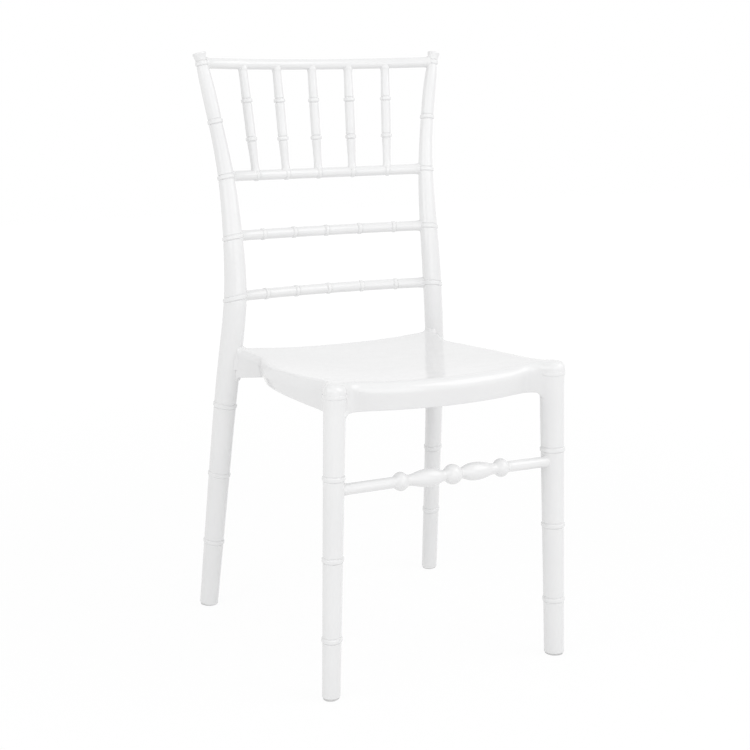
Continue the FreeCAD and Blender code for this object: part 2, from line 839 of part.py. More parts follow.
def stretcher_end():
    """End of the stretcher's centre line on the +X side, and the direction out of the stretcher."""
    arc = stretcher_arc()
    along = arc.tangent(arc.FirstParameter)[0]
    if along.x < 0:
        along = along * -1
    return arc.value(arc.FirstParameter), along


def turned(arc, profile):
    """Solid of revolution on an arc: profile is a smooth line of distances from the middle and diameters."""
    middle_place = (profile[0][0] + profile[-1][0]) / 2
    parameter = arc.parameterAtDistance(arc.length() / 2 + middle_place, arc.FirstParameter)
    centre = arc.value(parameter)
    along = arc.tangent(parameter)[0]
    if along.x < 0:
        along = along * -1
    up = Vector(0, 0, 1) - along * along.z
    up.normalize()
    points = [centre + along * (place - middle_place) + up * (size / 2) for place, size in profile]
    first = centre + along * (profile[0][0] - middle_place)
    last = centre + along * (profile[-1][0] - middle_place)
    sides = [smooth_curve(points).toShape(), Part.makeLine(points[-1], last),
             Part.makeLine(last, first), Part.makeLine(first, points[0])]
    return Part.Face(Part.Wire(sides)).revolve(centre, along, 360)


def make_stretcher(grown_leg):
    """Turned front stretcher, bowed forwards, coped to the front legs and tenoned into them."""
    arc = stretcher_arc()
    neck = stretcher_neck_diameter - 1
    rise = stretcher_bulge_crown - stretcher_bulge_start
    fall = stretcher_bulge_end - stretcher_bulge_crown
    swell = stretcher_bulge_diameter - neck
    bulge = [(stretcher_bulge_start, neck), (stretcher_bulge_start + rise * 0.45, neck + swell * 0.72),
             (stretcher_bulge_crown, stretcher_bulge_diameter),
             (stretcher_bulge_crown + fall * 0.5, neck + swell * 0.74), (stretcher_bulge_end, neck)]
    half = stretcher_bead_length / 2
    lift = stretcher_bead_diameter - neck
    bead = [(-half, neck), (-half * 0.6, neck + lift * 0.62), (0, stretcher_bead_diameter),
            (half * 0.6, neck + lift * 0.62), (half, neck)]
    bead = [(stretcher_bead_offset + place, size) for place, size in bead]
    ball = []
    for angle in evenly(-60, 60, 2 * fillet_sections):
        ball.append((stretcher_ball_diameter / 2 * math.sin(math.radians(angle)),
                     stretcher_ball_diameter * math.cos(math.radians(angle))))
    body = largest(sweep(arc, stretcher_neck_diameter).cut(both([grown_leg])))
    for feature in [turned(arc, ball)] + both([turned(arc, bulge), turned(arc, bead)]):
        body = body.fuse(feature)
    end, outwards = stretcher_end()
    tenon = rod(end, end - outwards * rail_tenon_root, stretcher_tenon_diameter)
    return largest(body.fuse(both([tenon])))


rails = [
    {"node": "crest_rail", "height": crest_height, "bow": crest_bow, "thickness": crest_thickness,
     "rings": 0, "pitch": spindle_crest_pitch, "spindles": True},
    {"node": "spindle_rail", "height": spindle_rail_height, "bow": spindle_rail_bow,
     "thickness": rail_thickness, "rings": 5, "pitch": spindle_rail_pitch, "spindles": True},
    {"node": "middle_back_rail", "height": middle_rail_height, "bow": middle_rail_bow,
     "thickness": rail_thickness, "rings": 5, "pitch": rail_ring_pitch, "spindles": False},
    {"node": "lower_back_rail", "height": lower_rail_height, "bow": lower_rail_bow,
     "thickness": rail_thickness, "rings": 5, "pitch": rail_ring_pitch, "spindles": False},
]
spindle_indices = range(-(spindle_count // 2), spindle_count // 2 + 1)
grown_post = rear_post(saddle_gap)
front_leg_heights = evenly(-beyond / 2, front_shoulder_height, leg_sections)
grown_front_leg = leg_body(front_line, front_size, front_outward, front_leg_heights, saddle_gap)


def save(node, shape):
    shape.exportStep("parts/" + node + ".step")


def save_pair(node, shape):
    """One node for each side of the chair."""
    save(node + "_left", shape)
    save(node + "_right", mirrored(shape))


def save_set(node, shape):
    """One node that holds the pieces of both sides as separate solids."""
    save(node, Part.makeCompound(both([shape])))


save("seat", make_seat(grown_post))
save_pair("rear_leg", make_rear_leg())
save_pair("front_leg", make_front_leg())
for rail in rails:
    save(rail["node"], make_rail(rail, grown_post))
coping = []
for rail in rails[:2]:
    coping.append(sweep(rail_arc(rail["height"], rail["bow"]), rail["thickness"] + 2 * saddle_gap))
    if rail["rings"]:
        coping += rail_rings(rail, saddle_gap)
for order, index in enumerate(spindle_indices):
    save("spindle_" + str(order + 1), make_spindle(index, coping))
save("front_stretcher", make_stretcher(grown_front_leg))
save_pair("rear_glide", make_glide(rear_line, rear_size, rear_outward))
save_pair("front_glide", make_glide(front_line, front_size, front_outward))
save_set("rear_leg_bolts", make_bolt())
save_set("bolt_inserts", make_insert())
save_set("front_leg_screws", make_screw())
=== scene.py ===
import math

import bpy
import numpy as np
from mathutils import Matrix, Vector
from mathutils.geometry import delaunay_2d_cdt


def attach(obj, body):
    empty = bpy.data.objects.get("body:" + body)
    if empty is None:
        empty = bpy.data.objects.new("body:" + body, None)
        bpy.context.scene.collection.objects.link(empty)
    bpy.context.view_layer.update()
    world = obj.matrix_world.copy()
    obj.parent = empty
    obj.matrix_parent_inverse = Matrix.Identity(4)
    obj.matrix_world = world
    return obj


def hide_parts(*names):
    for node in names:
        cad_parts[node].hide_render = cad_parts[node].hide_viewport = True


# Glossy white banqueting chair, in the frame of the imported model: floor at z = 0, the chair faces -Y,
# +X is the sitter's left. The pieces' sizes are in millimetres and mm turns them into metres; the studio
# is in metres.

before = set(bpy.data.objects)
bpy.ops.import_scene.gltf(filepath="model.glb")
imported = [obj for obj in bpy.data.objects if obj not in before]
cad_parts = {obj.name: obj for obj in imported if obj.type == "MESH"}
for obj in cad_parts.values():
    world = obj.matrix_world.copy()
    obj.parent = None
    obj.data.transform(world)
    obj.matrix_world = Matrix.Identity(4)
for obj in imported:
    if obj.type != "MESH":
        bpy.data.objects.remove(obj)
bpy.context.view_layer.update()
print("frame loaded:", len(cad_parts), "nodes")

mm = 0.001
upwards = np.array([0.0, 0.0, 1.0])


def unit(vectors):
    # v / |v| along the last axis
    return vectors / np.linalg.norm(vectors, axis=-1, keepdims=True)


def smoothLine(knots, values, at):
    # natural cubic spline through (knots, values); values may hold several columns
    knots = np.asarray(knots, float)
    values = np.asarray(values, float).reshape(len(knots), -1)
    gap = np.diff(knots)
    slope = np.diff(values, axis=0) / gap[:, None]
    count = len(knots)
    system = np.eye(count)
    inner = np.arange(1, count - 1)
    system[inner, inner - 1] = gap[:-1]
    system[inner, inner] = 2 * (gap[:-1] + gap[1:])
    system[inner, inner + 1] = gap[1:]
    right = np.zeros_like(values)
    right[1:-1] = 6 * np.diff(slope, axis=0)
    bend = np.linalg.solve(system, right)
    at = np.asarray(at, float)
    cell = np.clip(np.searchsorted(knots, at) - 1, 0, count - 2)
    a = (knots[cell + 1] - at)[:, None]
    b = (at - knots[cell])[:, None]
    h = gap[cell][:, None]
    return (bend[cell] * a ** 3 + bend[cell + 1] * b ** 3) / (6 * h) \
        + (values[cell] / h - bend[cell] * h / 6) * a + (values[cell + 1] / h - bend[cell + 1] * h / 6) * b


def stations(low, high, places, grid):
    # evenly spaced stations, with finer ones within reach of each place, and none much closer than those
    fine = grid["fine"]
    coarse = np.linspace(low, high, max(2, int(round((high - low) / grid["step"])) + 1))
    around = np.arange(-grid["reach"], grid["reach"] + fine / 2, fine)
    near = (np.asarray(places, float)[:, None] + around[None, :]).ravel()
    both = np.concatenate([coarse, near[(near > low) & (near < high)]])
    both = np.unique(np.round(both, 6))
    closest = 0.45 * fine
    return both[np.concatenate([[True], np.diff(both) > closest])]


def offsets(at, places):
    # distance of each station from each place along a straight run
    return np.abs(at[:, None] - np.asarray(places, float)[None, :])


def fillet(gap, radius):
    # radius - sqrt(radius^2 - (radius - gap)^2), how far a quarter circle stands off at a gap from its
    # start, and nothing beyond the radius
    near = np.clip(radius - gap, 0, radius)
    return radius - np.sqrt(radius ** 2 - near ** 2)


def ringSwell(offset, ring):
    # sum over the rings, along the last axis, of rise / (1 + |2 d / width|^8), a flat-topped collar with
    # soft shoulders, less a fine groove exp(-((d - width / 2 - edge) / edge)^2) along each of its sides
    collar = ring["rise"] / (1 + (offset * 2 / ring["width"]) ** 8)
    groove = ring["groove"] * np.exp(-((offset - ring["width"] / 2 - ring["edge"]) / ring["edge"]) ** 2)
    return (collar - groove).sum(axis=-1)


def tube(centres, reference, halfLong, halfShort, around):
    # P(a, s) = C(s) + halfLong(s) cos a L(s) + halfShort(s) sin a S(s), with T the direction of C,
    # L the part of reference square to T, and S = T x L
    tangent = unit(np.gradient(centres, axis=0))
    long = unit(reference - (tangent @ reference)[:, None] * tangent)
    short = np.cross(tangent, long)
    angle = np.linspace(0, 2 * math.pi, around, endpoint=False)
    return centres[:, None, :] \
        + (halfLong[:, None] * np.cos(angle))[..., None] * long[:, None, :] \
        + (halfShort[:, None] * np.sin(angle))[..., None] * short[:, None, :]


def closedSkin(rows):
    # vertices and faces of a tube of rows, closed at both ends by a pole at each end row's mean
    count, around = rows.shape[:2]
    verts = np.concatenate([rows.reshape(-1, 3), rows[:1].mean(axis=1), rows[-1:].mean(axis=1)])
    row, column = np.meshgrid(np.arange(count - 1), np.arange(around), indexing="ij")
    right = (column + 1) % around
    quads = np.stack([row * around + column, row * around + right,
                      (row + 1) * around + right, (row + 1) * around + column], axis=-1).reshape(-1, 4)
    edge = np.arange(around)
    step = (edge + 1) % around
    first = np.stack([np.full(around, count * around), step, edge], axis=-1)
    last = np.stack([np.full(around, count * around + 1), (count - 1) * around + edge,
                     (count - 1) * around + step], axis=-1)
    return verts, [quads, np.concatenate([first, last])]


def makePiece(name, skins, nodes, finish, sharp=40):
    # one mesh object from one or more closed skins, smooth except along edges sharper than the angle
    verts, loops, totals, offset = [], [], [], 0
    for skinVerts, faceSets in skins:
        for faces in faceSets:
            loops.append((faces + offset).ravel())
            totals.append(np.full(len(faces), faces.shape[1]))
        verts.append(skinVerts)
        offset += len(skinVerts)
    verts = np.concatenate(verts)
    loops = np.concatenate(loops).astype(np.int32)
    totals = np.concatenate(totals).astype(np.int32)
    starts = np.concatenate([[0], np.cumsum(totals)[:-1]]).astype(np.int32)
    mesh = bpy.data.meshes.new(name)
    mesh.vertices.add(len(verts))
    mesh.vertices.foreach_set("co", verts.astype(np.float32).ravel())
    mesh.loops.add(len(loops))
    mesh.loops.foreach_set("vertex_index", loops)
    mesh.polygons.add(len(totals))
    mesh.polygons.foreach_set("loop_start", starts)
    mesh.polygons.foreach_set("use_smooth", np.ones(len(totals), bool))
    mesh.update(calc_edges=True)
    mesh.validate()
    mesh.set_sharp_from_angle(angle=math.radians(sharp))
    piece = bpy.data.objects.new(name, mesh)
    bpy.context.scene.collection.objects.link(piece)
    mesh.materials.append(finish)
    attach(piece, "root")
    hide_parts(*nodes)
    return piece


def mirroredSkin(skin):
    # x -> -x, with the faces turned round so that they still point outwards
    verts, faceSets = skin
    return verts * np.array([-1.0, 1.0, 1.0]), [faces[:, ::-1] for faces in faceSets]


whitePlastic = dict(color=(0.85, 0.85, 0.8534), paler=(0.88, 0.88, 0.88176), cloudSize=9.0, cloudDetail=3.0,
                    roughness=0.16, roughnessSpread=0.07, markSize=36.0, markDetail=6.0, markBlend=0.65,
                    peelSize=260.0, peelDetail=2.0, peelDepth=0.012, peelHeight=0.0005,
                    flowSize=27.0, flowDetail=1.0, flowDepth=0.05, flowHeight=0.002,
                    bending=1.5, coat=0.35, coatRoughness=0.06)
glidePlastic = dict(color=(0.70, 0.70, 0.70), shade=0.94, roughness=0.55, grainSize=900.0, grainDetail=3.0,
                    grainDepth=0.08, grainHeight=0.0003)
boltSteel = dict(color=(0.62, 0.62, 0.62), shade=0.92, roughness=0.28, roughnessSpread=0.12,
                 grainSize=1400.0, grainDetail=2.0)
insertBrass = dict(color=(0.75, 0.56, 0.26), shade=0.92, roughness=0.32, roughnessSpread=0.12,
                   grainSize=900.0, grainDetail=2.0)


def newMaterial(name):
    # a material with its shader and the coordinates that its patterns lie on
    material = bpy.data.materials.new(name)
    material.use_nodes = True
    nodes = material.node_tree.nodes
    shader = nodes["Principled BSDF"]
    place = nodes.new("ShaderNodeTexCoord")
    return material, nodes, material.node_tree.links, shader, place


def addNoise(nodes, links, place, size, detail, roughness=0.5):
    # a cloudy pattern on the piece, finer with a larger size
    noise = nodes.new("ShaderNodeTexNoise")
    noise.inputs["Scale"].default_value = size
    noise.inputs["Detail"].default_value = detail
    noise.inputs["Roughness"].default_value = roughness
    links.new(place.outputs["Object"], noise.inputs["Vector"])
    return noise.outputs["Fac"]


def ranged(nodes, links, source, low, high):
    # maps 0.3..0.7 of a noise, where most of it lies, to low..high
    span = nodes.new("ShaderNodeMapRange")
    span.inputs["From Min"].default_value = 0.3
    span.inputs["From Max"].default_value = 0.7
    span.inputs["To Min"].default_value = low
    span.inputs["To Max"].default_value = high
    links.new(source, span.inputs["Value"])
    return span.outputs["Result"]


def addTone(nodes, links, shader, share, first, second):
    # colour between the first and the second by the share
    tone = nodes.new("ShaderNodeMix")
    tone.data_type = "RGBA"
    tone.inputs[6].default_value = (*first, 1)
    tone.inputs[7].default_value = (*second, 1)
    links.new(share, tone.inputs[0])
    links.new(tone.outputs[2], shader.inputs["Base Color"])


def addGloss(nodes, links, shader, source, spec):
    # roughness spread about its middle by a noise
    low, high = (spec["roughness"] + side * spec["roughnessSpread"] / 2 for side in (-1, 1))
    links.new(ranged(nodes, links, source, low, high), shader.inputs["Roughness"])


def addBump(nodes, links, source, depth, height):
    # a pattern that tilts the surface, by a share of a height in metres
    bump = nodes.new("ShaderNodeBump")
    bump.inputs["Strength"].default_value = depth
    bump.inputs["Distance"].default_value = height
    links.new(source, bump.inputs["Height"])
    return bump


def shaded(spec):
    # the finish's darker tone
    return [channel * spec["shade"] for channel in spec["color"]]


def moulded(spec):
    # white plastic: faint cloudy tone, small marks in the gloss, and bumps for broad flow marks and a fine
    # orange peel
    material, nodes, links, shader, place = newMaterial("whitePlastic")
    cloud = addNoise(nodes, links, place, spec["cloudSize"], spec["cloudDetail"])
    addTone(nodes, links, shader, ranged(nodes, links, cloud, 0.0, 1.0), spec["color"], spec["paler"])
    marks = addNoise(nodes, links, place, spec["markSize"], spec["markDetail"], spec["markBlend"])
    addGloss(nodes, links, shader, marks, spec)
    peel = addNoise(nodes, links, place, spec["peelSize"], spec["peelDetail"])
    flow = addNoise(nodes, links, place, spec["flowSize"], spec["flowDetail"])
    fine = addBump(nodes, links, peel, spec["peelDepth"], spec["peelHeight"])
    broad = addBump(nodes, links, flow, spec["flowDepth"], spec["flowHeight"])
    links.new(fine.outputs["Normal"], broad.inputs["Normal"])
    links.new(broad.outputs["Normal"], shader.inputs["Normal"])
    shader.inputs["IOR"].default_value = spec["bending"]
    shader.inputs["Coat Weight"].default_value = spec["coat"]
    shader.inputs["Coat Roughness"].default_value = spec["coatRoughness"]
    return material


def matte(spec):
    # grey polyamide: dull with a fine grain
    material, nodes, links, shader, place = newMaterial("glidePlastic")
    grain = addNoise(nodes, links, place, spec["grainSize"], spec["grainDetail"])
    addTone(nodes, links, shader, grain, shaded(spec), spec["color"])
    bump = addBump(nodes, links, grain, spec["grainDepth"], spec["grainHeight"])
    links.new(bump.outputs["Normal"], shader.inputs["Normal"])
    shader.inputs["Roughness"].default_value = spec["roughness"]
    return material


def turnedMetal(name, spec):
    # bright metal with fine turning marks in its gloss
    material, nodes, links, shader, place = newMaterial(name)
    marks = addNoise(nodes, links, place, spec["grainSize"], spec["grainDetail"])
    addGloss(nodes, links, shader, marks, spec)
    addTone(nodes, links, shader, marks, shaded(spec), spec["color"])
    shader.inputs["Metallic"].default_value = 1.0
    return material


shellFinish = moulded(whitePlastic)
glideFinish = matte(glidePlastic)
steelFinish = turnedMetal("boltSteel", boltSteel)
brassFinish = turnedMetal("insertBrass", insertBrass)
print("finishes made")


legRing = dict(width=6.2, rise=1.4, groove=1.1, edge=0.7)
frontLeg = dict(foot=(191.7, -230.0), head=(179.7, -222.0), headHeight=461.0, outward=(1.0, -1.0, 0.0),
                footLong=31.0, footShort=26.5, headLong=37.5, headShort=31.8, sole=3.0, soleRound=1.2,
                rings=(329.0, 209.5, 90.0), shoulder=399.0, neckTop=450.0, headRing=447.5, headRise=0.4,
                around=80, grid=dict(step=10.0, reach=6.0, fine=0.33),
                headGrid=dict(step=6.0, reach=7.0, fine=0.35))


def frontLegCentre(spec, height):
    # foot + (head - foot) height / headHeight, the middle of the left leg at one height or at many
    foot, head = np.array(spec["foot"]), np.array(spec["head"])
    return foot + (head - foot) * (np.asarray(height, float)[..., None] / spec["headHeight"])


def frontLegRows(spec, heights, swell):
    # straight leg: centre and widths are linear in height, the outward diagonal is the long way
    share = heights / spec["headHeight"]
    centres = np.concatenate([frontLegCentre(spec, heights), heights[:, None]], axis=-1)
    long = (spec["footLong"] + (spec["headLong"] - spec["footLong"]) * share) / 2 + swell
    short = (spec["footShort"] + (spec["headShort"] - spec["footShort"]) * share) / 2 + swell
    return tube(centres * mm, np.array(spec["outward"]), long * mm, short * mm, spec["around"])


def frontLegSkin(spec):
    # the leg from its sole to the seat, with its collars and less a small round at the sole
    heights = stations(spec["sole"], spec["shoulder"], spec["rings"] + (spec["sole"],), spec["grid"])
    swell = ringSwell(offsets(heights, spec["rings"]), legRing) \
        - fillet(heights - spec["sole"], spec["soleRound"])
    return closedSkin(frontLegRows(spec, heights, swell))


def cornerHeadSkin(spec):
    # the leg's line carried on inside the seat's corner, with the collar that stands out of it
    heights = stations(spec["shoulder"], spec["neckTop"], (spec["headRing"],), spec["headGrid"])
    ring = dict(legRing, rise=legRing["rise"] + spec["headRise"])
    return closedSkin(frontLegRows(spec, heights, ringSwell(offsets(heights, (spec["headRing"],)), ring)))


legSkin = frontLegSkin(frontLeg)
for side, skin in (("left", legSkin), ("right", mirroredSkin(legSkin))):
    makePiece("frontLeg_" + side, [skin], ["front_leg_" + side], shellFinish)
print("front legs made")


rearLeg = dict(
    heights=(0.0, 230.0, 431.0, 534.0, 630.0, 724.0, 810.0, 900.0, 916.9),
    x=(213.0, 201.5, 188.5, 179.5, 177.5, 180.5, 191.0, 207.0, 210.5),
    y=(217.0, 186.0, 160.0, 153.0, 164.0, 181.0, 196.5, 208.5, 210.5),
    sizeHeights=(0.0, 230.0, 431.0, 534.0, 630.0, 724.0, 810.0, 891.0, 909.0, 916.9),
    long=(31.0, 35.5, 38.0, 37.5, 32.0, 26.0, 22.5, 19.5, 19.5, 23.5),
    short=(26.5, 28.0, 30.5, 30.5, 29.0, 24.0, 21.0, 17.5, 17.5, 22.0),
    rings=(355.0, 235.5, 116.0), backRings=(531.5, 628.0, 723.0, 809.5, 900.0), backTilt=(0.13, 0.20, 1.0),
    outward=(1.0, 1.0, 0.0), sole=3.0, soleRound=1.2, finialRound=3.0, around=80,
    grid=dict(step=6.0, reach=10.0, fine=0.33),
    jointHeight=431.0, boltPlace=14.6, boltRadius=6.05, recessLength=20.0, recessAround=48)


def along(spec, names, at, heightsName):
    # columns of the spec as smooth lines of height
    return smoothLine(spec[heightsName], np.stack([spec[name] for name in names], axis=-1), at)


def rearLegLine(spec, heights):
    # points of the leg's middle, (x(z), y(z), z)
    return np.concatenate([along(spec, ("x", "y"), heights, "heights"), heights[:, None]], axis=-1)


def rearLegSkin(spec):
    # ovals on the smooth line of the leg with a small round at the sole, a flared finial and a rounded top,
    # pushed out square to the line by the collars, whose distance is taken from each collar's own plane:
    # below the seat the plane is square to the leg, and on the back all planes are parallel
    top = spec["heights"][-1]
    places = np.array(spec["rings"] + spec["backRings"])
    heights = stations(spec["sole"], top, tuple(places) + (top, spec["sole"]), spec["grid"])
    centres = rearLegLine(spec, heights)
    widths = along(spec, ("long", "short"), heights, "sizeHeights") / 2 \
        - fillet(heights - spec["sole"], spec["soleRound"])[:, None] \
        - fillet(top - heights, spec["finialRound"])[:, None]
    rows = tube(centres, np.array(spec["outward"]), widths[:, 0], widths[:, 1], spec["around"])
    middles = rearLegLine(spec, places)
    planes = unit(rearLegLine(spec, places + 1.0) - rearLegLine(spec, places - 1.0))
    planes[len(spec["rings"]):] = unit(np.array(spec["backTilt"]))
    offset = np.abs(np.einsum("rak,ik->rai", rows, planes) - (middles * planes).sum(axis=-1))
    rows = rows + unit(rows - centres[:, None, :]) * ringSwell(offset, legRing)[..., None]
    return closedSkin(rows * mm)


def boltRecess(piece, spec, side):
    # round recess for the bolt's head, cut out of the leg along its outward diagonal
    mirror = np.array([side, 1.0, 1.0])
    outward = unit(np.array(spec["outward"])) * mirror
    middle = rearLegLine(spec, np.array([spec["jointHeight"]]))[0] * mirror
    run = middle + (spec["boltPlace"] + np.linspace(0, spec["recessLength"], 3)[:, None]) * outward
    size = np.full(3, spec["boltRadius"])
    verts, faceSets = closedSkin(tube(run * mm, upwards, size * mm, size * mm, spec["recessAround"]))
    mesh = bpy.data.meshes.new("boltRecess")
    mesh.from_pydata(verts.tolist(), [], [face for faces in faceSets for face in faces.tolist()])
    cutter = bpy.data.objects.new("boltRecess", mesh)
    bpy.context.scene.collection.objects.link(cutter)
    cut = piece.modifiers.new("boltRecess", "BOOLEAN")
    cut.operation = "DIFFERENCE"
    cut.solver = "EXACT"
    cut.object = cutter
    bpy.context.view_layer.update()
    whole = piece.data
    piece.data = bpy.data.meshes.new_from_object(piece.evaluated_get(bpy.context.evaluated_depsgraph_get()))
    piece.data.name = whole.name
    piece.modifiers.clear()
    bpy.data.objects.remove(cutter)
    bpy.data.meshes.remove(whole)


postSkin = rearLegSkin(rearLeg)
for side, skin, sign in (("left", postSkin, 1.0), ("right", mirroredSkin(postSkin), -1.0)):
    piece = makePiece("rearLeg_" + side, [skin], ["rear_leg_" + side], shellFinish)
    boltRecess(piece, rearLeg, sign)
print("rear legs made")


backRails = dict(
    lean=0.09, inside=4.0, flareRise=1.6, flareReach=2.5, around=48,
    grid=dict(step=5.0, reach=14.0, fine=0.5),
    ring=dict(width=6.0, rise=1.2, groove=0.9, edge=0.7),
    crest=dict(node="crest_rail", height=900.6, bow=39.0, thickness=16.8, pitch=65.0, rings=0),
    upper=dict(node="spindle_rail", height=724.0, bow=41.0, thickness=16.5, pitch=60.5, rings=5),
    middle=dict(node="middle_back_rail", height=630.0, bow=30.0, thickness=16.5, pitch=60.0, rings=5),
    lower=dict(node="lower_back_rail", height=534.0, bow=34.0, thickness=16.5, pitch=60.0, rings=5))
spindles = dict(
    foot=13.5, swollen=15.5, top=14.5, lowRing=0.308, highRing=0.689, flareRise=0.8, flareReach=2.2,
    inside=2.0, beyond=6.0, around=40, grid=dict(step=4.0, reach=7.0, fine=0.33),
    ring=dict(width=5.8, rise=1.6, groove=1.1, edge=0.7))


def bowedLine(end, middle, distances):
    # points of the arc (+x end) - middle - (-x end), at distances from its middle, + towards +x, and
    # half the arc's length
    half = end[0]
    rise = end - middle
    rise[0] = 0.0
    bow = np.linalg.norm(rise)
    radius = (half ** 2 + bow ** 2) / (2 * bow)
    inwards = rise / bow
    turn = distances[:, None] / radius
    aside = radius * np.sin(turn) * np.array([1.0, 0.0, 0.0])
    return middle + radius * (1 - np.cos(turn)) * inwards + aside, radius * math.asin(half / radius)


def railLine(rail, distances):
    # the rail's arc from post to post, bowed back and a little down from its ends
    end = rearLegLine(rearLeg, np.array([rail["height"]]))[0]
    middle = np.array([0.0, end[1] + rail["bow"], end[2] - rail["bow"] * backRails["lean"]])
    return bowedLine(end, middle, distances)


def postRadius(rail):
    # mean half width of the post where the rail meets it
    return along(rearLeg, ("long", "short"), np.array([rail["height"]]), "sizeHeights")[0].mean() / 2


def railSkin(rail):
    # round bar on the arc: r(s) = thickness / 2 + collars + flareRise exp(-gap / flareReach), with the gap
    # measured from the post's side
    _, half = railLine(rail, np.zeros(1))
    rings = (np.arange(rail["rings"]) - (rail["rings"] - 1) / 2) * rail["pitch"]
    places = np.concatenate([rings, [-half, half]]) if rail["rings"] else np.array([-half, half])
    reach = half - backRails["inside"]
    at = stations(-reach, reach, places, backRails["grid"])
    centres, _ = railLine(rail, at)
    gap = np.clip(half - postRadius(rail) - np.abs(at), 0, None)
    radius = rail["thickness"] / 2 + backRails["flareRise"] * np.exp(-gap / backRails["flareReach"])
    if rail["rings"]:
        radius = radius + ringSwell(offsets(at, rings), backRails["ring"])
    return closedSkin(tube(centres * mm, upwards, radius * mm, radius * mm, backRails["around"]))


def spindleSkin(index):
    # straight bar from rail to rail, slender at its ends, swollen between two collars, and with a small
    # flare flareRise exp(-gap / flareReach) at both rails
    low = railLine(backRails["upper"], np.array([index * backRails["upper"]["pitch"]]))[0][0]
    high = railLine(backRails["crest"], np.array([index * backRails["crest"]["pitch"]]))[0][0]
    length = np.linalg.norm(high - low)
    start = backRails["upper"]["thickness"] / 2
    end = length - backRails["crest"]["thickness"] / 2
    lowRing = start + (end - start) * spindles["lowRing"]
    highRing = start + (end - start) * spindles["highRing"]
    at = stations(spindles["inside"], length - spindles["inside"], (lowRing, highRing, start, end),
                  spindles["grid"])
    knots = (-spindles["beyond"], (start + lowRing) / 2, lowRing, (lowRing + highRing) / 2, highRing,
             (highRing + end) / 2, length + spindles["beyond"])
    foot, swollen, top = spindles["foot"] / 2, spindles["swollen"] / 2, spindles["top"] / 2
    bar = smoothLine(knots, (foot, foot, swollen, swollen, swollen, top, top), at)[:, 0]
    collar = ringSwell(offsets(at, (lowRing, highRing)), spindles["ring"])
    gap = np.clip(np.minimum(at - start, end - at), 0, None)
    radius = bar + collar + spindles["flareRise"] * np.exp(-gap / spindles["flareReach"])
    centres = low + (high - low) * (at / length)[:, None]
    rearwards = np.array([0.0, 1.0, 0.0])
    return closedSkin(tube(centres * mm, rearwards, radius * mm, radius * mm, spindles["around"]))


for name in ("crest", "upper", "middle", "lower"):
    rail = backRails[name]
    makePiece(name + "Rail", [railSkin(rail)], [rail["node"]], shellFinish)
for index in range(-2, 3):
    name = "spindle_" + str(index + 3)
    makePiece(name, [spindleSkin(index)], [name], shellFinish)
print("back rails and spindles made")


stretcher = dict(
    height=310.0, bow=16.5, rise=6.0, end=16.5, ball=30.0, tuck=1.0,
    bulge=dict(size=27.0, start=16.0, crown=38.0, end=68.0, risePlace=0.45, riseShare=0.72, fallPlace=0.5,
               fallShare=0.74),
    bead=dict(size=28.0, start=73.0, crown=84.0, end=95.0, risePlace=0.4, riseShare=0.62, fallPlace=0.6,
              fallShare=0.62),
    soften=14.0, inside=4.0, legHalf=17.5, flareRise=0.7, flareReach=2.5,
    around=56, grid=dict(step=1.0, reach=22.0, fine=0.5))


def turnedLump(lump, low, place):
    # radius of a swelling: a smooth line from the tucked-in neck up to the crown and down again, through
    # one point on the way up and one on the way down, and next to nothing beyond its ends
    rise, fall = lump["crown"] - lump["start"], lump["end"] - lump["crown"]
    knots = (lump["start"], lump["start"] + rise * lump["risePlace"], lump["crown"],
             lump["crown"] + fall * lump["fallPlace"], lump["end"])
    swell = lump["size"] - low
    sizes = (low, low + swell * lump["riseShare"], lump["size"], low + swell * lump["fallShare"], low)
    line = smoothLine(knots, sizes, np.clip(place, lump["start"], lump["end"]))[:, 0] / 2
    return np.where((place > lump["start"]) & (place < lump["end"]), line, 1e-3)


def stretcherRadius(spec, at):
    # soft maximum (sum of r_i^n)^(1/n) of the neck, the ball, the bulge and the bead, on |s|
    place = np.abs(at)
    low = spec["end"] - spec["tuck"]
    neck = np.full_like(place, spec["end"] / 2)
    ball = np.sqrt(np.clip((spec["ball"] / 2) ** 2 - place ** 2, 1e-6, None))
    bulge, bead = (turnedLump(spec[name], low, place) for name in ("bulge", "bead"))
    forms = np.stack([neck, ball, bulge, bead])
    return (forms ** spec["soften"]).sum(axis=0) ** (1 / spec["soften"])


def stretcherSkin(spec):
    # turned bar on a shallow arc from leg to leg, with a flare flareRise exp(-gap / flareReach) at both
    end = np.append(frontLegCentre(frontLeg, spec["height"]), spec["height"])
    middle = np.array([0.0, end[1] - spec["bow"], end[2] + spec["rise"]])
    _, half = bowedLine(end, middle, np.zeros(1))
    reach = half - spec["inside"]
    at = stations(-reach, reach, (-half, half), spec["grid"])
    centres, _ = bowedLine(end, middle, at)
    gap = np.clip(half - spec["legHalf"] - np.abs(at), 0, None)
    radius = stretcherRadius(spec, at) + spec["flareRise"] * np.exp(-gap / spec["flareReach"])
    return closedSkin(tube(centres * mm, upwards, radius * mm, radius * mm, spec["around"]))


piece = makePiece("frontStretcher", [stretcherSkin(stretcher)], ["front_stretcher"], shellFinish)
print("stretcher made")


